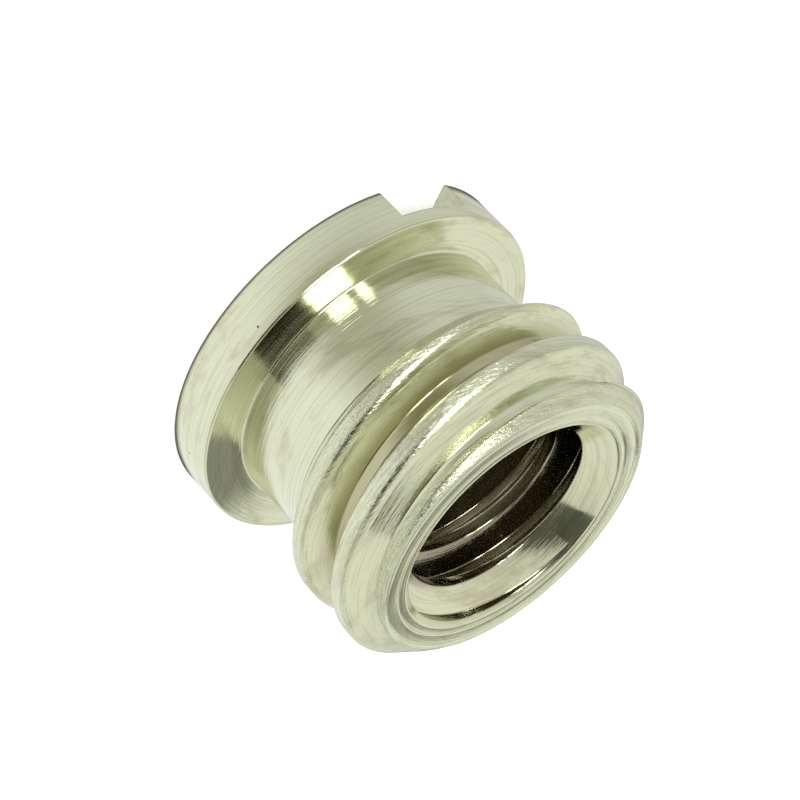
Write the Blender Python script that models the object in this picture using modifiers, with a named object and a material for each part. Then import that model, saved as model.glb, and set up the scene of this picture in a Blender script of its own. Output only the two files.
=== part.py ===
"""Tripod thread adapter: a one-piece turned and nickel-plated bushing.

A slotted head stands on z = 0. Above it come a smooth relief neck and a short male 3/8 inch thread of
16 turns per inch. A female 1/4 inch thread of 20 turns per inch runs right through, countersunk at both
ends. Run it with blender --background --python part.py, or from Blender's text editor.
"""

import math

import bmesh
import bpy

MM = 0.001

# Female thread, 1/4 inch by 20 turns per inch, with a 90 degree countersink at each end
FEMALE_MINOR_RADIUS = 2.55 * MM
FEMALE_PITCH = 25.4 / 20 * MM
FEMALE_DEPTH_SHARE = 0.49
FEMALE_CREST_SHARE = 0.25
FEMALE_START_DEGREES = 2.8
COUNTERSINK = 0.72 * MM

# Metal left between the roots of the two threads
THREAD_WALL = 0.80 * MM

# Male thread, 3/8 inch by 16 turns per inch
MALE_PITCH = 25.4 / 16 * MM
MALE_DEPTH_SHARE = 0.46
MALE_CREST_SHARE = 0.27
MALE_LENGTH = 3.43 * MM
MALE_START_DEGREES = -59.06
MALE_START_DROP = 0.634 * MM
SHOULDER_CHAMFER = 0.55 * MM
END_CHAMFER = 0.66 * MM

# Relief neck between the head and the male thread
NECK_LENGTH = 2.42 * MM
NECK_FILLET = 0.12 * MM
NECK_UNDERCUT = 0.05 * MM

# Head, the wide disc with the screwdriver slot. Its lip is how far it stands out past the male thread
HEAD_LIP = 0.35 * MM
HEAD_THICKNESS = 1.36 * MM
HEAD_EDGE_BREAK = 0.07 * MM
SLOT_WIDTH = 2.30 * MM
SLOT_DEPTH_SHARE = 0.70

# How finely the round forms are cut into flats, and how far the cutters reach past the metal
ROUND_SEGMENTS = 64
FILLET_SEGMENTS = 3
CUT_MARGIN = 0.06 * MM
THREAD_FLANK = math.radians(30)
FULL_TURN = 2 * math.pi
MERGE = 1e-7

# Sizes that follow from the ones above, from the bore outwards and then from the floor upwards
FEMALE_DEPTH = FEMALE_DEPTH_SHARE * FEMALE_PITCH
FEMALE_MAJOR_RADIUS = FEMALE_MINOR_RADIUS + FEMALE_DEPTH
FEMALE_MOUTH = (1 - FEMALE_CREST_SHARE) * FEMALE_PITCH
MOUTH_RADIUS = FEMALE_MINOR_RADIUS + COUNTERSINK
MALE_ROOT_RADIUS = FEMALE_MAJOR_RADIUS + THREAD_WALL
MALE_MAJOR_RADIUS = MALE_ROOT_RADIUS + MALE_DEPTH_SHARE * MALE_PITCH
MALE_MOUTH = (1 - MALE_CREST_SHARE) * MALE_PITCH
NECK_RADIUS = MALE_ROOT_RADIUS - NECK_UNDERCUT
HEAD_RADIUS = MALE_MAJOR_RADIUS + HEAD_LIP
SLOT_DEPTH = SLOT_DEPTH_SHARE * HEAD_THICKNESS
SHOULDER_Z = HEAD_THICKNESS + NECK_LENGTH
TOP_Z = SHOULDER_Z + MALE_LENGTH


def clear_scene():
    """Leaves an empty scene, whatever was in it."""
    for old in list(bpy.data.objects):
        bpy.data.objects.remove(old, do_unlink=True)


def new_collection(name):
    """A collection in the scene for the part or for its cutters."""
    made = bpy.data.collections.new(name)
    bpy.context.scene.collection.children.link(made)
    return made


def plated_metal():
    """Bright nickel plate, which has a slightly warm tone."""
    metal = bpy.data.materials.new("nickel_plate")
    metal.use_nodes = True
    shader = metal.node_tree.nodes["Principled BSDF"]
    shader.inputs["Base Color"].default_value = (0.72, 0.73, 0.56, 1)
    shader.inputs["Metallic"].default_value = 1.0
    shader.inputs["Roughness"].default_value = 0.22
    return metal


def fillet_points(centre_radius, centre_z, radius):
    """The inside corner between the head's seat and the neck, from the neck down to the seat."""
    points = []
    for step in range(FILLET_SEGMENTS + 1):
        angle = math.pi + step / FILLET_SEGMENTS * math.pi / 2
        points.append((centre_radius + radius * math.cos(angle), centre_z + radius * math.sin(angle)))
    return points


def blank_profile():
    """Half section of the turned blank as (radius, height): down the outside and up the bore."""
    end_radius = MALE_MAJOR_RADIUS - END_CHAMFER
    outside = [
        (MOUTH_RADIUS, TOP_Z),
        (end_radius, TOP_Z),
        (MALE_MAJOR_RADIUS, TOP_Z - END_CHAMFER),
        (MALE_MAJOR_RADIUS, SHOULDER_Z + SHOULDER_CHAMFER),
        (MALE_MAJOR_RADIUS - SHOULDER_CHAMFER, SHOULDER_Z),
        (NECK_RADIUS, SHOULDER_Z),
    ]
    outside += fillet_points(NECK_RADIUS + NECK_FILLET, HEAD_THICKNESS + NECK_FILLET, NECK_FILLET)
    outside += [
        (HEAD_RADIUS - HEAD_EDGE_BREAK, HEAD_THICKNESS),
        (HEAD_RADIUS, HEAD_THICKNESS - HEAD_EDGE_BREAK),
        (HEAD_RADIUS, HEAD_EDGE_BREAK),
        (HEAD_RADIUS - HEAD_EDGE_BREAK, 0),
    ]
    bore = [
        (MOUTH_RADIUS, 0),
        (FEMALE_MINOR_RADIUS, COUNTERSINK),
        (FEMALE_MINOR_RADIUS, TOP_Z - COUNTERSINK),
    ]
    return outside + bore


def turned_blank(name, profile, collection):
    """A closed profile turned a full circle about Z with a Screw modifier."""
    points = [(radius, 0, height) for radius, height in profile]
    edges = [(i, (i + 1) % len(points)) for i in range(len(points))]
    mesh = bpy.data.meshes.new(name)
    mesh.from_pydata(points, edges, [])
    blank = bpy.data.objects.new(name, mesh)
    collection.objects.link(blank)
    screw = blank.modifiers.new("turn", "SCREW")
    screw.steps = ROUND_SEGMENTS
    screw.render_steps = ROUND_SEGMENTS
    screw.use_merge_vertices = True
    screw.merge_threshold = MERGE
    screw.use_smooth_shade = True
    return blank


def vee_section(root_radius, mouth_radius, mouth_width):
    """Section of a vee groove as (radius, height): a flat root, two flanks and a straight lead-out."""
    outward = math.copysign(1, mouth_radius - root_radius)
    depth = abs(mouth_radius - root_radius)
    half_mouth = mouth_width / 2
    half_root = half_mouth - depth * math.tan(THREAD_FLANK)
    past_mouth = mouth_radius + outward * CUT_MARGIN
    return [
        (past_mouth, -half_mouth),
        (mouth_radius, -half_mouth),
        (root_radius, -half_root),
        (root_radius, half_root),
        (mouth_radius, half_mouth),
        (past_mouth, half_mouth),
    ]


def thread_cutter(name, section, pitch, start, turns, collection):
    """A vee section swept up a right-hand helix and capped. start is (angle, height).

    The start angles lie half a facet off the blank's own facets, so that no corner of the sweep falls
    on an edge of the blank.
    """
    start_angle, start_height = start
    steps = math.ceil(turns * ROUND_SEGMENTS)
    shaper = bmesh.new()
    rings = []
    for step in range(steps + 1):
        swept = step / ROUND_SEGMENTS * FULL_TURN
        angle = start_angle + swept
        height = start_height + pitch * swept / FULL_TURN
        ring = [
            shaper.verts.new((radius * math.cos(angle), radius * math.sin(angle), height + z))
            for radius, z in section
        ]
        rings.append(ring)
    count = len(section)
    for lower, upper in zip(rings, rings[1:]):
        for i in range(count):
            j = (i + 1) % count
            shaper.faces.new((lower[i], lower[j], upper[j], upper[i]))
    shaper.faces.new(rings[0])
    shaper.faces.new(rings[-1])
    bmesh.ops.recalc_face_normals(shaper, faces=shaper.faces)
    mesh = bpy.data.meshes.new(name)
    shaper.to_mesh(mesh)
    shaper.free()
    cutter = bpy.data.objects.new(name, mesh)
    collection.objects.link(cutter)
    as_helper(cutter)
    return cutter


def male_cutter(collection):
    """The outside groove: it comes out of the relief neck through the shoulder and runs off the top."""
    section = vee_section(MALE_ROOT_RADIUS, MALE_MAJOR_RADIUS, MALE_MOUTH)
    start = (math.radians(MALE_START_DEGREES), SHOULDER_Z - MALE_START_DROP)
    turns = (MALE_LENGTH + MALE_START_DROP + MALE_PITCH) / MALE_PITCH
    return thread_cutter("male_groove_cutter", section, MALE_PITCH, start, turns, collection)


def female_cutter(collection):
    """The inside groove: it runs right through the bore and out of both ends."""
    section = vee_section(FEMALE_MAJOR_RADIUS, FEMALE_MINOR_RADIUS, FEMALE_MOUTH)
    start = (math.radians(FEMALE_START_DEGREES), -FEMALE_PITCH)
    turns = (TOP_Z + 2 * FEMALE_PITCH) / FEMALE_PITCH
    return thread_cutter("female_groove_cutter", section, FEMALE_PITCH, start, turns, collection)


def slot_cutter(collection):
    """The screwdriver slot: a bar across the back of the head, along X."""
    bpy.ops.mesh.primitive_cube_add(size=1, location=(0, 0, SLOT_DEPTH / 2 - CUT_MARGIN))
    bar = bpy.context.object
    bar.name = "slot_cutter"
    bar.scale = (3 * HEAD_RADIUS, SLOT_WIDTH, SLOT_DEPTH + 2 * CUT_MARGIN)
    for holder in list(bar.users_collection):
        holder.objects.unlink(bar)
    collection.objects.link(bar)
    as_helper(bar)
    return bar


def as_helper(cutter):
    """Keeps a cutter out of the render and shows it as wire."""
    cutter.hide_render = True
    cutter.display_type = "WIRE"


def cut(body, cutter):
    """Takes the cutter's shape away from the body."""
    boolean = body.modifiers.new(cutter.name, "BOOLEAN")
    boolean.operation = "DIFFERENCE"
    boolean.object = cutter
    boolean.solver = "EXACT"


def main():
    clear_scene()
    part = new_collection("tripod_thread_adapter")
    cutters = new_collection("cutters")
    body = turned_blank("adapter_body", blank_profile(), part)
    body.data.materials.append(plated_metal())
    cut(body, male_cutter(cutters))
    cut(body, female_cutter(cutters))
    cut(body, slot_cutter(cutters))


main()
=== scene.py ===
# %% [markdown]
# # A tripod thread adapter
# The real object is one small bushing, turned from bar on a lathe and nickel plated. Its wide
# slotted head stops against the rim of a socket, a smooth neck gives the cutting tool room to run
# out, a coarse thread goes round the outside, and a finer thread runs through the middle. This
# lesson makes it the way a machinist would: turn, drill and countersink a blank, cut the outside
# thread with a die, tap the bore and mill the slot. Then it gets its plating, its camera and its
# light.

import math

import bpy
from mathutils import Matrix, Vector


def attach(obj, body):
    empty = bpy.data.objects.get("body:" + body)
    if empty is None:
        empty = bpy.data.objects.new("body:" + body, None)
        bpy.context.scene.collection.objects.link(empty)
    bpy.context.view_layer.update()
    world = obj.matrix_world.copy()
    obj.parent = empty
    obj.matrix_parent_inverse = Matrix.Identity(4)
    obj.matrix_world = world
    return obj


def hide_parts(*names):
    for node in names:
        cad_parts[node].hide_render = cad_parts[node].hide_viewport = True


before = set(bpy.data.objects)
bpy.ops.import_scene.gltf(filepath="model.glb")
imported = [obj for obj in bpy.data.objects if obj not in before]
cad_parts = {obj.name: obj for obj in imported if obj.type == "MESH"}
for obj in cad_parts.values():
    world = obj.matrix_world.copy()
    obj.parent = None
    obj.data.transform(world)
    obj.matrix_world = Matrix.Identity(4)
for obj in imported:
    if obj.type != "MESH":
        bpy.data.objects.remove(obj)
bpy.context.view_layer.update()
scene = bpy.context.scene

# %% [markdown]
# ## Sizes
# All sizes are in metres. Those of the turned part and of the threads are the ones that the solid
# was made from. Both threads are standard ones, which fixes their pitch: sixteen turns to the inch
# outside and twenty turns to the inch inside.

# %% Sizes of the turned part
MM = 0.001
INCH = 25.4 * MM
HEAD_RADIUS = 5.05 * MM
HEAD_THICKNESS = 1.36 * MM
NECK_RADIUS = 3.92 * MM
SHOULDER_Z = 3.78 * MM
TOP_Z = 7.21 * MM
SHOULDER_CHAMFER = 0.55 * MM
END_CHAMFER = 0.66 * MM
SLOT_WIDTH = 2.30 * MM
SLOT_DEPTH = 0.95 * MM
COUNTERSINK = 0.72 * MM
STOCK = 0.10 * MM
print("height", TOP_Z / MM, "mm, head diameter", 2 * HEAD_RADIUS / MM, "mm")

# %% Sizes of the two threads
MALE_PITCH = INCH / 16
MALE_CREST_RADIUS = 4.70 * MM
MALE_ROOT_RADIUS = MALE_CREST_RADIUS - 0.46 * MALE_PITCH
MALE_CREST_WIDTH = 0.27 * MALE_PITCH
MALE_GROOVE_Z = 4.991 * MM
FEMALE_PITCH = INCH / 20
FEMALE_CREST_RADIUS = 2.55 * MM
FEMALE_ROOT_RADIUS = FEMALE_CREST_RADIUS + 0.49 * FEMALE_PITCH
FEMALE_CREST_WIDTH = 0.25 * FEMALE_PITCH
FLANK = math.radians(30)
print("pitches", round(MALE_PITCH / MM, 4), "and", round(FEMALE_PITCH / MM, 4), "mm")

# %% Sizes of the small forms that only this finer model has
BROKEN_EDGE = 0.07 * MM
MALE_ROOT_ARC, MALE_CREST_ARC = 0.045 * MM, 0.17 * MM
FEMALE_ROOT_ARC, FEMALE_CREST_ARC = 0.04 * MM, 0.06 * MM
MARK_WIDTH, MARK_DEPTH = 0.07 * MM, 0.022 * MM
MOUTH_TO_MARK = 0.22 * MM
EDGE_TO_MARK = 0.20 * MM
DOWN_CHAMFER = 0.30 * MM
print("worn crests have an arc of", round(MALE_CREST_ARC / MM, 3), "mm")

# %% [markdown]
# ## Drawing a profile
# Everything round here starts as a profile, a chain of points in the plane of X and Z. A chain is
# drawn as by hand: a plane is shrunk to one vertex, which is moved to the first point and then
# extruded from point to point. Real corners are never quite sharp, so each corner is first replaced
# by a short arc.

# %% A profile with rounded corners
# A corner with more than this half angle is nearly straight and stays as it is, and no arc takes up
# more than this share of the sides that it joins.
NEARLY_STRAIGHT = math.radians(88)
MOST_OF_SIDE = 0.45


def rounded(points, radius, pieces=4):
    """Replaces every corner of an open chain by an arc.

    Each point is (radius, height), and may add an arc of its own as a third number.
    """
    arcs = [point[2] if len(point) > 2 else radius for point in points]
    points = [point[:2] for point in points]
    out = [Vector(points[0])]
    for before, corner, after, arc in zip(points, points[1:], points[2:], arcs[1:]):
        before, corner, after = Vector(before), Vector(corner), Vector(after)
        back, ahead = (before - corner).normalized(), (after - corner).normalized()
        half = back.angle(ahead) / 2
        if half > NEARLY_STRAIGHT:
            out.append(corner)
            continue
        longest = MOST_OF_SIDE * min((before - corner).length, (after - corner).length)
        trim = min(arc / math.tan(half), longest)
        reach = trim * math.tan(half)
        centre = corner + (back + ahead).normalized() * trim / math.cos(half)
        start, end = corner + back * trim - centre, corner + ahead * trim - centre
        swing = math.pi - 2 * half
        for piece in range(pieces + 1):
            share = piece / pieces
            mix = start * math.sin((1 - share) * swing) + end * math.sin(share * swing)
            out.append(centre + mix.normalized() * reach)
    out.append(Vector(points[-1]))
    return out


def draw_chain(name, points):
    """Draws a chain of edges by extruding one vertex from point to point."""
    bpy.ops.object.select_all(action="DESELECT")
    bpy.ops.mesh.primitive_plane_add(size=MM)
    chain = bpy.context.object
    chain.name = name
    bpy.ops.object.mode_set(mode="EDIT")
    bpy.ops.mesh.merge(type="CENTER")
    bpy.ops.transform.translate(value=(points[0][0], 0, points[0][1]))
    for here, there in zip(points, points[1:]):
        step = (there[0] - here[0], 0, there[1] - here[1])
        bpy.ops.mesh.extrude_region_move(TRANSFORM_OT_translate={"value": step})
    bpy.ops.object.mode_set(mode="OBJECT")
    print(name, "profile:", len(chain.data.vertices), "points")
    return chain


# %% [markdown]
# ## Turning and cutting
# A Screw modifier turns the profile round Z. With no lift it gives a turned shape, and with a lift
# of one pitch it gives a thread. Its points lie in rows that follow the thread, so the metal shades
# cleanly. Cutting is a Boolean with the exact solver, applied at once.

# %% Turn, tidy and cut
ROUND_STEPS = 192
SAME_POINT = 0.0005 * MM


def apply_modifier(piece, modifier):
    """Applies one modifier to a piece."""
    bpy.context.view_layer.objects.active = piece
    bpy.ops.object.modifier_apply(modifier=modifier.name)


def in_edit_mode(piece, *steps):
    """Runs mesh operators on all of a piece. Each step is (operator, settings)."""
    bpy.ops.object.select_all(action="DESELECT")
    piece.select_set(True)
    bpy.context.view_layer.objects.active = piece
    bpy.ops.object.mode_set(mode="EDIT")
    for operator, settings in steps:
        bpy.ops.mesh.select_all(action="SELECT")
        operator(**settings)
    bpy.ops.object.mode_set(mode="OBJECT")


def turn(chain, lift=0.0, turns=1):
    """Turns a chain round Z, rising by lift in each turn."""
    screw = chain.modifiers.new("turn", "SCREW")
    screw.steps = screw.render_steps = ROUND_STEPS
    screw.screw_offset = lift
    screw.iterations = turns
    screw.use_smooth_shade = True
    apply_modifier(chain, screw)
    in_edit_mode(
        chain,
        (bpy.ops.mesh.remove_doubles, {"threshold": SAME_POINT}),
        (bpy.ops.mesh.normals_make_consistent, {"inside": False}),
    )
    return chain


def cut(piece, tool):
    """Takes the tool's shape out of the piece, and puts the tool away."""
    boolean = piece.modifiers.new("cut", "BOOLEAN")
    boolean.operation = "DIFFERENCE"
    boolean.solver = "EXACT"
    boolean.object = tool
    apply_modifier(piece, boolean)
    bpy.data.objects.remove(tool, do_unlink=True)
    print(piece.name, "now has", len(piece.data.polygons), "faces")


# %% [markdown]
# ## The blank
# The blank is a solid of revolution: head, neck, shoulder and the plain stem that will carry the
# thread. It is drilled through and countersunk at both ends. The stem is left a little oversize and
# the bore a little undersize, because the die and the tap cut them to their finished size. On the
# end face and its chamfer the turning tool left three shallow ring marks, which are part of the
# profile.

# %% A mark of the turning tool
def ring_mark(radius, height, lean):
    """Three points of a shallow groove, on a surface that leans by that angle to the end face."""
    along = Vector((math.cos(lean), -math.sin(lean))) * MARK_WIDTH / 2
    inward = Vector((-math.sin(lean), -math.cos(lean))) * MARK_DEPTH
    middle = Vector((radius, height))
    return [tuple(middle - along), tuple(middle + inward), tuple(middle + along)]


# %% Turn the blank
stem_radius = MALE_CREST_RADIUS + STOCK
drill_radius = FEMALE_CREST_RADIUS - STOCK
mouth_radius = FEMALE_CREST_RADIUS + COUNTERSINK
drill_depth = COUNTERSINK + STOCK
face_edge = MALE_CREST_RADIUS - END_CHAMFER
blank_profile = rounded(
    [
        (drill_radius, TOP_Z / 2),
        (drill_radius, TOP_Z - drill_depth),
        (mouth_radius, TOP_Z),
        *ring_mark(mouth_radius + MOUTH_TO_MARK, TOP_Z, 0),
        *ring_mark(face_edge - EDGE_TO_MARK, TOP_Z, 0),
        (face_edge, TOP_Z),
        *ring_mark(face_edge + DOWN_CHAMFER, TOP_Z - DOWN_CHAMFER, math.radians(45)),
        (stem_radius, TOP_Z - END_CHAMFER - STOCK),
        (stem_radius, SHOULDER_Z + SHOULDER_CHAMFER + STOCK),
        (MALE_CREST_RADIUS - SHOULDER_CHAMFER, SHOULDER_Z),
        (NECK_RADIUS, SHOULDER_Z),
        (NECK_RADIUS, HEAD_THICKNESS),
        (HEAD_RADIUS, HEAD_THICKNESS),
        (HEAD_RADIUS, 0),
        (mouth_radius, 0),
        (drill_radius, drill_depth),
        (drill_radius, TOP_Z / 2),
    ],
    BROKEN_EDGE,
)
adapter = turn(draw_chain("adapter", blank_profile))
print("blank:", len(adapter.data.polygons), "faces")

# %% [markdown]
# ## The outside thread
# A thread could be relief in a material, but here its crests are the outline of the part, so it is
# cut. One pitch of the thread, from crest to crest, is drawn as a chain and turned with a lift of
# one pitch. Two bisects close this long screw at its ends. Taken out of a short bar it leaves a
# die, and the die then cuts the blank. The die starts below the shoulder, where the root of the
# thread clears the neck, so the groove runs out into the neck as it does behind a real die. Use
# has rounded the crests, so they get a wide arc.

# %% Draw one pitch of a thread
ON_THE_PLANE = 0.0001 * MM


def thread_chain(
    name, crest_radius, root_radius, crest_width, pitch, groove_z, root_arc, crest_arc
):
    """One pitch of a thread, drawn from the upper crest down to the lower one."""
    half_mouth = (pitch - crest_width) / 2
    half_root = half_mouth - abs(crest_radius - root_radius) * math.tan(FLANK)
    corners = [
        (crest_radius, groove_z + pitch / 2),
        (crest_radius, groove_z + half_mouth, crest_arc),
        (root_radius, groove_z + half_root),
        (root_radius, groove_z - half_root),
        (crest_radius, groove_z - half_mouth, crest_arc),
        (crest_radius, groove_z - pitch / 2),
    ]
    return draw_chain(name, rounded(corners, root_arc))


def close_between(screw, low, high):
    """Cuts a long screw off at two heights and closes both cuts."""
    closing = {"use_fill": True, "clear_outer": True, "threshold": ON_THE_PLANE}
    in_edit_mode(
        screw,
        (bpy.ops.mesh.bisect, {"plane_co": (0, 0, low), "plane_no": (0, 0, -1), **closing}),
        (bpy.ops.mesh.bisect, {"plane_co": (0, 0, high), "plane_no": (0, 0, 1), **closing}),
        (bpy.ops.mesh.normals_make_consistent, {"inside": False}),
    )


# %% Cut the outside thread with a die
SCREW_TURNS, TURNS_BELOW = 7, 3
RUN_OUT = 1.3 * MM
DIE_PAST_END = 0.5 * MM
SCREW_PAST_DIE = 0.2 * MM
DIE_WALL = 1.0 * MM
DIE_SIDES = 64
screw = thread_chain(
    "screw",
    crest_radius=MALE_CREST_RADIUS,
    root_radius=MALE_ROOT_RADIUS,
    crest_width=MALE_CREST_WIDTH,
    pitch=MALE_PITCH,
    groove_z=MALE_GROOVE_Z - TURNS_BELOW * MALE_PITCH,
    root_arc=MALE_ROOT_ARC,
    crest_arc=MALE_CREST_ARC,
)
turn(screw, lift=MALE_PITCH, turns=SCREW_TURNS)
die_low = SHOULDER_Z - RUN_OUT
die_high = TOP_Z + DIE_PAST_END
close_between(screw, die_low - SCREW_PAST_DIE, die_high + SCREW_PAST_DIE)
bpy.ops.mesh.primitive_cylinder_add(
    vertices=DIE_SIDES,
    radius=HEAD_RADIUS + DIE_WALL,
    depth=die_high - die_low,
    location=(0, 0, (die_high + die_low) / 2),
)
die = bpy.context.object
die.name = "die"
cut(die, screw)
cut(adapter, die)

# %% [markdown]
# ## The bore
# The tap is drawn the same way, but its ridge stands outwards. It brings the bore to size and
# threads it in one cut.

# %% Tap the bore
TAP_TURNS, TAP_STARTS_AT = 9, -2 * FEMALE_PITCH
TAP_PAST_PART = 0.4 * MM
tap = thread_chain(
    "tap",
    crest_radius=FEMALE_CREST_RADIUS,
    root_radius=FEMALE_ROOT_RADIUS,
    crest_width=FEMALE_CREST_WIDTH,
    pitch=FEMALE_PITCH,
    groove_z=TAP_STARTS_AT,
    root_arc=FEMALE_ROOT_ARC,
    crest_arc=FEMALE_CREST_ARC,
)
turn(tap, lift=FEMALE_PITCH, turns=TAP_TURNS)
close_between(tap, -TAP_PAST_PART, TOP_Z + TAP_PAST_PART)
cut(adapter, tap)

# %% [markdown]
# ## The slot
# A slitting cutter mills the slot straight across the back of the head, so a wide screwdriver can
# turn it. The cutter here is a block that is wider than the head and stands out below it.

# %% Mill the slot
CUTTER_LENGTH = 3 * HEAD_RADIUS
CUTTER_BELOW = 0.3 * MM
bpy.ops.mesh.primitive_cube_add(size=1, location=(0, 0, (SLOT_DEPTH - CUTTER_BELOW) / 2))
slitter = bpy.context.object
slitter.scale = (CUTTER_LENGTH, SLOT_WIDTH, SLOT_DEPTH + CUTTER_BELOW)
bpy.ops.object.transform_apply(location=True, rotation=True, scale=True)
cut(adapter, slitter)

# %% Finish the mesh
# Faces that meet at less than this angle shade as one smooth surface.
SHARP_FROM = math.radians(32)
bpy.ops.object.select_all(action="DESELECT")
adapter.select_set(True)
bpy.context.view_layer.objects.active = adapter
bpy.ops.object.shade_smooth_by_angle(angle=SHARP_FROM)
print("adapter:", len(adapter.data.polygons), "faces")

# %% [markdown]
# ## Nickel plating
# The part is turned from steel or brass and then nickel plated. Plating is thin and bright, with a
# slightly warm, yellowish tone, and the fine rings that the tool left still show through it. A
# picture wrapped round the part would have a seam, so the rings are a noise that is stretched round
# the axis: it changes quickly with radius and height, and slowly round the turn.

# %% Colour and node helpers
def linear(hex_colour):
    """An sRGB hex colour as the linear colour that Blender works in."""
    channels = [int(hex_colour[i : i + 2], 16) / 255 for i in (1, 3, 5)]
    curve = [c / 12.92 if c <= 0.04045 else ((c + 0.055) / 1.055) ** 2.4 for c in channels]
    return (*curve, 1.0)


def new_material(name):
    """A new material, its node tree and its output node."""
    made = bpy.data.materials.new(name)
    made.use_nodes = True
    made.node_tree.nodes.clear()
    return made, made.node_tree, made.node_tree.nodes.new("ShaderNodeOutputMaterial")


def node(tree, kind, inputs=None, **settings):
    """Adds a node with its settings. An input gets a value, or a link from another output."""
    made = tree.nodes.new("ShaderNode" + kind)
    for name, value in settings.items():
        setattr(made, name, value)
    for name, value in (inputs or {}).items():
        if isinstance(value, bpy.types.NodeSocket):
            tree.links.new(value, made.inputs[name])
        else:
            made.inputs[name].default_value = value
    return made


# %% Distance from the axis
plating, metal, plating_out = new_material("nickel_plating")
place = node(metal, "TexCoord").outputs["Object"]
split = node(metal, "SeparateXYZ", {"Vector": place}).outputs
how_high = split["Z"]
flat_place = node(metal, "CombineXYZ", {"X": split["X"], "Y": split["Y"]}).outputs[0]
from_axis = node(metal, "VectorMath", {0: flat_place}, operation="LENGTH").outputs["Value"]
section_place = node(metal, "CombineXYZ", {"X": from_axis, "Y": how_high}).outputs[0]
print("place on the section:", len(metal.nodes), "nodes")

# %% Turning rings
def ring_noise(spacing, wander, detail, rough):
    """Noise in rings of that spacing, which change about wander times in a metre round."""
    tight = node(
        metal, "VectorMath", {0: section_place, "Scale": 1 / spacing}, operation="SCALE"
    ).outputs["Vector"]
    slow = node(
        metal, "VectorMath", {0: place, "Scale": wander}, operation="SCALE"
    ).outputs["Vector"]
    where = node(metal, "VectorMath", {0: tight, 1: slow}, operation="ADD").outputs["Vector"]
    return node(
        metal, "TexNoise", {"Vector": where, "Scale": 1.0, "Detail": detail, "Roughness": rough}
    ).outputs["Fac"]


# Turning marks are a few hundredths of a millimetre apart, which is about one pixel of the render,
# so these are drawn a little coarser.
fine_rings = ring_noise(spacing=0.05 * MM, wander=0.30 / MM, detail=3.0, rough=0.65)
broad_rings = ring_noise(spacing=0.30 * MM, wander=0.12 / MM, detail=3.0, rough=0.6)
print("with the rings:", len(metal.nodes), "nodes")

# %% [markdown]
# ## Wear, stains, dirt and painted shade
# A used adapter is far from even, and this is what makes it look real. The plating is stained and
# streaked along the turning rings, and has a dark pit here and there where it did not take. The
# crests and the end rim are chipped. Shade is painted into the grooves of the thread, into the bore
# and where the metal is seen at a grazing angle. Each of these gets a mask, which is a share from 0
# to 1 that says where it is. Most masks are a smooth fade between two radii, two heights or two
# levels of a noise.

# %% A mask
def mask(tree, *limits, most=1.0):
    """The share, up to most, where every limit holds.

    A limit is a value, the number where it gives nothing and the number where it gives all.
    """
    share = most
    for value, nothing_at, all_at in limits:
        fade = node(
            tree,
            "MapRange",
            {"Value": value, "From Min": nothing_at, "From Max": all_at},
            interpolation_type="SMOOTHSTEP",
        ).outputs["Result"]
        share = node(tree, "Math", {0: share, 1: fade}, operation="MULTIPLY").outputs[0]
    return share


# %% Pits
PITS_IN_A_METRE = 1.7 / MM
PIT_GROUPS_IN_A_METRE = 0.6 / MM
LARGEST_PIT = 0.085
PIT_EDGE = 0.03
nearest_pit = node(
    metal,
    "TexVoronoi",
    {"Vector": place, "Scale": PITS_IN_A_METRE, "Randomness": 1.0},
    feature="F1",
).outputs["Distance"]
pit_noise = node(
    metal, "TexNoise", {"Vector": place, "Scale": PIT_GROUPS_IN_A_METRE, "Detail": 1.0}
).outputs["Fac"]
pit_size = node(
    metal,
    "MapRange",
    {"Value": pit_noise, "From Min": 0.40, "From Max": 0.70, "To Max": LARGEST_PIT},
).outputs["Result"]
pit_depth = node(
    metal, "Math", {0: pit_size, 1: nearest_pit}, operation="SUBTRACT"
).outputs[0]
pits = mask(metal, (pit_depth, 0.0, PIT_EDGE))
print("with the pits:", len(metal.nodes), "nodes")

# %% Stains and streaks
blotch_noise = ring_noise(spacing=0.6 * MM, wander=0.7 / MM, detail=5.0, rough=0.65)
streak_noise = ring_noise(spacing=0.07 * MM, wander=0.20 / MM, detail=3.0, rough=0.7)
blotches = mask(metal, (blotch_noise, 0.48, 0.72), most=0.6)
streaks = mask(metal, (streak_noise, 0.45, 0.70), most=0.45)
print("with stains and streaks:", len(metal.nodes), "nodes")

# %% Painted shade in the bore, up to the countersink
shaded_bore_top = TOP_Z - COUNTERSINK
# Painted shade: the bore is painted darker up to the countersink.
bore_shade = mask(
    metal,
    (from_axis, FEMALE_ROOT_RADIUS + 0.08 * MM, FEMALE_ROOT_RADIUS - 0.05 * MM),
    (how_high, shaded_bore_top + 0.05 * MM, shaded_bore_top - 0.10 * MM),
)
print("painted shade in the bore up to", round(shaded_bore_top / MM, 2), "mm")

# %% Chipped crests and end rim
RIM_INNER, RIM_OUTER = 3.85 * MM, 4.0 * MM
RIM_LOW, RIM_HIGH = TOP_Z - 0.45 * MM, TOP_Z - 0.2 * MM
CREST_INNER, CREST_OUTER = 4.50 * MM, 4.68 * MM
end_rim = mask(metal, (from_axis, RIM_INNER, RIM_OUTER), (how_high, RIM_LOW, RIM_HIGH))
crests = mask(
    metal,
    (from_axis, CREST_INNER, CREST_OUTER),
    (how_high, SHOULDER_Z, SHOULDER_Z + 0.2 * MM),
    most=0.6,
)
worn = node(metal, "Math", {0: end_rim, 1: crests}, operation="MAXIMUM").outputs[0]
chip_noise = ring_noise(spacing=0.14 * MM, wander=2.6 / MM, detail=4.0, rough=0.75)
chips = node(metal, "Math", {0: worn, 1: chip_noise}, operation="MULTIPLY").outputs[0]
print("chips lie outside", round(RIM_INNER / MM, 2), "mm from the axis")
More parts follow.
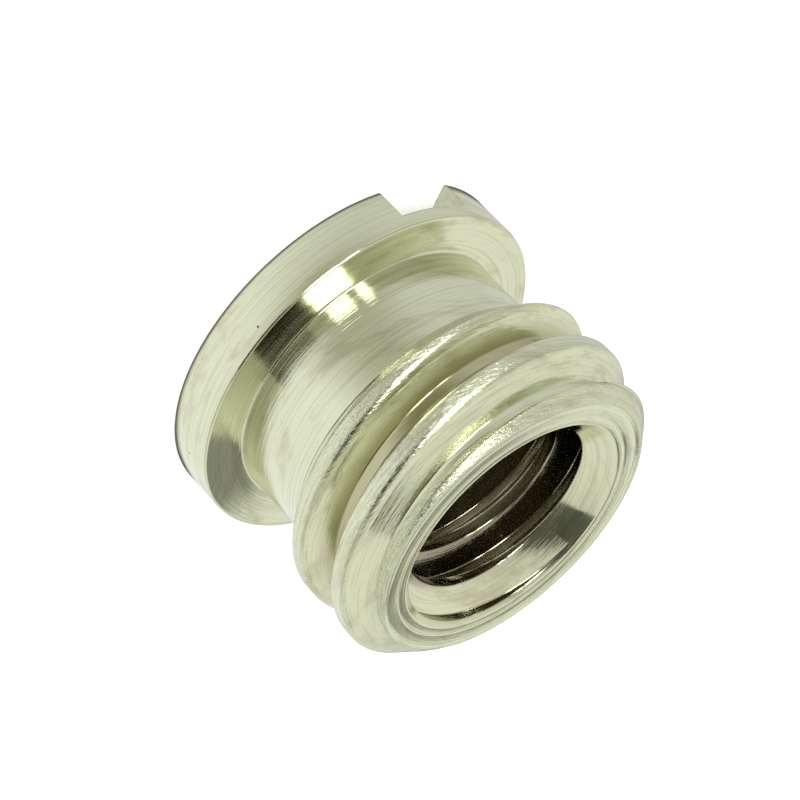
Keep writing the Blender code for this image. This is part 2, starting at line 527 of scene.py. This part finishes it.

# %% Painted shade in the grooves
# Painted shade: the grooves of the thread are painted darker round the root.
groove_shade = mask(
    metal,
    (from_axis, MALE_ROOT_RADIUS + 0.5 * MM, MALE_ROOT_RADIUS + 0.05 * MM),
    (from_axis, MALE_ROOT_RADIUS - 0.3 * MM, MALE_ROOT_RADIUS - 0.1 * MM),
    (how_high, SHOULDER_Z, SHOULDER_Z + 0.15 * MM),
    (how_high, TOP_Z - 1.0 * MM, TOP_Z - 1.6 * MM),
    most=0.85,
)
print("grime sits round a radius of", round(MALE_ROOT_RADIUS / MM, 2), "mm")

# %% Painted shade where the metal is seen at a grazing angle
grazing = node(metal, "LayerWeight", {"Blend": 0.5}).outputs["Facing"]
# Painted shade: the colour is darkened where the metal is seen at a grazing angle.
grazing_shade = mask(metal, (grazing, 0.80, 0.97), most=0.65)
print("with all masks:", len(metal.nodes), "nodes")

# %% [markdown]
# ## Putting the plating together
# The clean plating is a pale, warm metal. Each kind of wear or dirt, and each painted shade, is
# laid over it as a darker tone, where its mask says so. The relief is laid on in the same way, from
# the broken edges that a Bevel node rounds to the rings, the unevenness, the chips and the pits.

# %% Colour of the plating
layers = {
    "stains": (blotches, "#B9B394"),
    "streaks": (streaks, "#B8B596"),
    # Painted shade in the grooves of the thread.
    "grime": (groove_shade, "#B6B48E"),
    "pits": (pits, "#6E6C58"),
    # Painted shade where the metal is seen at a grazing angle.
    "painted grazing shade": (grazing_shade, "#7E7F6E"),
    # Painted shade in the bore.
    "painted bore shade": (bore_shade, "#A7A18F"),
}
colour = linear("#E1E5C9")
for share, tint in layers.values():
    colour = node(
        metal, "Mix", {"Factor": share, 6: colour, 7: linear(tint)}, data_type="RGBA"
    ).outputs[2]
print("colour layers:", ", ".join(layers))

# %% Relief of the plating
ROUNDED_EDGE = 0.045 * MM
relief_layers = [
    # What stands out, how strongly, how far, and whether it is sunk in.
    (broad_rings, 0.6, 0.010 * MM, False),
    (fine_rings, 0.6, 0.0055 * MM, False),
    (blotch_noise, 0.35, 0.012 * MM, False),
    (chips, 1.0, 0.07 * MM, False),
    (pits, 0.6, 0.01 * MM, True),
]
relief = node(metal, "Bevel", {"Radius": ROUNDED_EDGE}, samples=6).outputs[0]
for bumps, strength, distance, sunk in relief_layers:
    relief = node(
        metal,
        "Bump",
        {"Height": bumps, "Normal": relief, "Strength": strength, "Distance": distance},
        invert=sunk,
    ).outputs[0]
print("relief layers:", len(relief_layers))

# %% The plating on the adapter
GLOSSIEST, DULLEST = 0.06, 0.15
satin = node(
    metal,
    "MapRange",
    {
        "Value": broad_rings,
        "From Min": 0.3,
        "From Max": 0.7,
        "To Min": GLOSSIEST,
        "To Max": DULLEST,
    },
).outputs["Result"]
plating_shader = node(
    metal,
    "BsdfPrincipled",
    {"Base Color": colour, "Roughness": satin, "Normal": relief, "Metallic": 1.0},
)
metal.links.new(plating_shader.outputs[0], plating_out.inputs["Surface"])
adapter.data.materials.clear()
adapter.data.materials.append(plating)
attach(adapter, "root")
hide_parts("adapter_body")
print("plating:", len(metal.nodes), "nodes")

# %% [markdown]
# ## Camera
# The photograph looks down on the threaded end, with the part's axis running to the lower right.
# The camera is placed by its distance, its height angle and its turn round the axis, then rolled
# and aimed a little to one side of the part. The angles are in degrees.

# %% Place the camera
CAMERA_DISTANCE = 72.73 * MM
CAMERA_TURN, CAMERA_HEIGHT, CAMERA_ROLL = 52.91, 28.78, 136.60
CAMERA_AIM = Vector((1.35, 1.57, 3.60)) * MM
CAMERA_LENS = 135
camera_data = bpy.data.cameras.new("camera")
camera_data.lens = CAMERA_LENS
camera_data.clip_start = 5 * MM
camera = bpy.data.objects.new("camera", camera_data)
scene.collection.objects.link(camera)
facing = (
    Matrix.Rotation(math.radians(90 + CAMERA_TURN), 4, "Z")
    @ Matrix.Rotation(math.radians(90 - CAMERA_HEIGHT), 4, "X")
    @ Matrix.Rotation(math.radians(CAMERA_ROLL), 4, "Z")
)
camera.matrix_world = (
    Matrix.Translation(CAMERA_AIM) @ facing @ Matrix.Translation((0, 0, CAMERA_DISTANCE))
)
scene.camera = camera
print("camera at", [round(number / MM, 2) for number in camera.matrix_world.translation], "mm")

# %% [markdown]
# ## Floor and surroundings
# Bright metal looks like what stands round it, so the floor and the room are made twice: once as
# they are seen, and once as the metal mirrors them. The floor is seen as plain white paper. What
# the metal mirrors of it is a painted reflection: it has painted light to one side, a soft patch of
# painted shade in front of the part, and a thin line of painted shadow under the edge of the head.
# The room lights everything evenly with white, and the metal mirrors it as a warm grey that gets
# lighter overhead and on the far side.

# %% The floor's plane
FLOOR_SIZE = 1.2
FLOOR_GAP = 0.005 * MM
bpy.ops.object.select_all(action="DESELECT")
bpy.ops.mesh.primitive_plane_add(size=FLOOR_SIZE, location=(0, 0, -FLOOR_GAP))
floor = bpy.context.object
floor.name = "floor"
paper, floor_tree, paper_out = new_material("white_paper")
paper_place = node(floor_tree, "TexCoord").outputs["Object"]
print("floor:", FLOOR_SIZE, "m across,", round(FLOOR_GAP / MM, 3), "mm below the head")

# %% The floor as the metal mirrors it, a painted reflection
SHADE_MIDDLE = Vector((0.74, 0.67, 0)) * 13.0 * MM
SHADE_CORE, SHADE_END = 2.0 * MM, 9.0 * MM
BRIGHT_WAY = Vector((-0.5, 0.87, 0))
from_shade = node(
    floor_tree, "VectorMath", {0: paper_place, 1: SHADE_MIDDLE}, operation="DISTANCE"
).outputs["Value"]
from_foot = node(floor_tree, "VectorMath", {0: paper_place}, operation="LENGTH").outputs["Value"]
outward = node(floor_tree, "VectorMath", {0: paper_place}, operation="NORMALIZE").outputs["Vector"]
toward_light = node(
    floor_tree, "VectorMath", {0: outward, 1: BRIGHT_WAY}, operation="DOT_PRODUCT"
).outputs["Value"]
# Painted light to one side, a soft patch of painted shade in front of the part, and a thin line of
# painted shadow under the edge of the head.
bright_side = mask(floor_tree, (toward_light, -0.2, 0.6))
shade = mask(floor_tree, (from_shade, SHADE_END, SHADE_CORE))
# Painted shadow: a thin dark line on the mirrored floor just under the edge of the head.
edge_shadow_line = mask(
    floor_tree,
    (from_foot, HEAD_RADIUS - 0.08 * MM, HEAD_RADIUS),
    (from_foot, HEAD_RADIUS + 0.16 * MM, HEAD_RADIUS + 0.04 * MM),
)
mirrored_colour = linear("#DCDCDA")
for share, tint in ((bright_side, "#FFFFFF"), (shade, "#A19E88"), (edge_shadow_line, "#6E6E66")):
    mirrored_colour = node(
        floor_tree, "Mix", {"Factor": share, 6: mirrored_colour, 7: linear(tint)}, data_type="RGBA"
    ).outputs[2]
mirrored = node(floor_tree, "Emission", {"Color": mirrored_colour}).outputs[0]
print("mirrored floor:", len(floor_tree.nodes), "nodes")

# %% The floor as it is seen
# The lamps stay at a plain level for the metal, and the paper is lifted to white by a faint glow.
PAPER_GLOW = 0.42
rays = node(floor_tree, "LightPath").outputs
lit_paper = node(floor_tree, "BsdfDiffuse", {"Color": linear("#FBFCFC")}).outputs[0]
glow = node(floor_tree, "Emission", {"Color": linear("#F4FAF9"), "Strength": PAPER_GLOW}).outputs[0]
seen_paper = node(floor_tree, "AddShader", {0: lit_paper, 1: glow}).outputs[0]
direct = node(
    floor_tree, "MixShader", {0: rays["Is Camera Ray"], 1: lit_paper, 2: seen_paper}
).outputs[0]
surface = node(
    floor_tree, "MixShader", {0: rays["Is Glossy Ray"], 1: direct, 2: mirrored}
).outputs[0]
floor_tree.links.new(surface, paper_out.inputs["Surface"])
floor.data.materials.append(paper)
print("white paper:", len(floor_tree.nodes), "nodes")

# %% Room
FAR_SIDE = Vector((-0.45, -0.50, 0.74))
world = bpy.data.worlds.new("studio")
scene.world = world
world.use_nodes = True
room = world.node_tree
direction = node(room, "TexCoord").outputs["Generated"]
toward_far = node(
    room, "VectorMath", {0: direction, 1: FAR_SIDE}, operation="DOT_PRODUCT"
).outputs["Value"]
is_mirrored = node(room, "LightPath").outputs["Is Glossy Ray"]
mirrored_room = node(
    room,
    "Mix",
    {
        "Factor": mask(room, (toward_far, 0.1, 0.9)),
        6: linear("#BCBAAF"),
        7: linear("#F4F4EE"),
    },
    data_type="RGBA",
).outputs[2]
sky_colour = node(
    room,
    "Mix",
    {"Factor": is_mirrored, 6: linear("#FFFFFF"), 7: mirrored_room},
    data_type="RGBA",
).outputs[2]
room.links.new(sky_colour, room.nodes["Background"].inputs["Color"])
print("room:", len(room.nodes), "nodes")

# %% [markdown]
# ## Window and cards
# A bright window of two panes, with a dark bar of room between them, stands on the camera's side
# and gives the metal its white patches. A large dark card beside it, and a lighter one above that,
# give the black and dark grey patches. A grey card on the far side tones down the light that the
# back of the thread mirrors. The metal sees them all and the camera sees none. Each is placed by
# its direction from the part, and sized by how wide and high it looks from there, in degrees.

# %% Place something round the part
WINDOW_DISTANCE, CARD_DISTANCE = 0.15, 0.14


def span(degrees, distance):
    """How wide a thing is that looks so many degrees wide from that distance."""
    return 2 * distance * math.tan(math.radians(degrees / 2))


def aim(thing, azimuth, elevation, distance):
    """Puts a thing that far from the part in a direction given in degrees, facing the part."""
    turn_angle, rise = math.radians(azimuth), math.radians(elevation)
    level = math.cos(rise) * distance
    out = Vector(
        (level * math.cos(turn_angle), level * math.sin(turn_angle), math.sin(rise) * distance)
    )
    middle = Vector((0, 0, TOP_Z / 2))
    outward_way = out.normalized()
    side = Vector((0, 0, 1)).cross(outward_way).normalized()
    turned = Matrix((side, outward_way.cross(side), outward_way)).transposed().to_4x4()
    thing.matrix_world = Matrix.Translation(middle + out) @ turned


# %% Window
PANE_BRIGHTNESS = 5.0


def window(name, azimuth, elevation, width, height):
    """A rectangular lamp, whose direction, width and height are in degrees."""
    lamp_data = bpy.data.lights.new(name, "AREA")
    lamp_data.shape = "RECTANGLE"
    lamp_data.size = span(width, WINDOW_DISTANCE)
    lamp_data.size_y = span(height, WINDOW_DISTANCE)
    lamp_data.energy = PANE_BRIGHTNESS * math.pi * lamp_data.size * lamp_data.size_y
    lamp = bpy.data.objects.new(name, lamp_data)
    scene.collection.objects.link(lamp)
    aim(lamp, azimuth, elevation, WINDOW_DISTANCE)
    print(name, "gives", round(lamp_data.energy, 4), "W")


window("left_pane", azimuth=35.5, elevation=31, width=18, height=44)
window("right_pane", azimuth=15.5, elevation=31, width=7.5, height=44)

# %% Cards
def card(name, azimuth, elevation, width, height, colour):
    """A card that only the metal sees. Its direction, width and height are in degrees."""
    bpy.ops.mesh.primitive_plane_add(size=1)
    made = bpy.context.object
    made.name = name
    made.scale = (span(width, CARD_DISTANCE), span(height, CARD_DISTANCE), 1)
    bpy.ops.object.transform_apply(location=False, rotation=False, scale=True)
    aim(made, azimuth, elevation, CARD_DISTANCE)
    stuff, tree, out = new_material(name)
    tone = node(tree, "Emission", {"Color": linear(colour)}).outputs[0]
    tree.links.new(tone, out.inputs["Surface"])
    made.data.materials.append(stuff)
    made.visible_camera = made.visible_diffuse = made.visible_shadow = False
    print(name, "is", [round(number / MM) for number in made.dimensions[:2]], "mm")


card("dark_card", azimuth=82, elevation=31, width=42, height=44, colour="#20201C")
card("upper_dark_card", azimuth=88, elevation=66, width=50, height=20, colour="#5A5A54")
card("far_card", azimuth=-141, elevation=33.3, width=29, height=14, colour="#8E8E86")

# %% [markdown]
# ## Colours as written
# The Standard view shows each colour about as it is written. The finished adapter has to keep the
# size of the solid that it stands for.

# %% View settings
scene.view_settings.view_transform = "Standard"
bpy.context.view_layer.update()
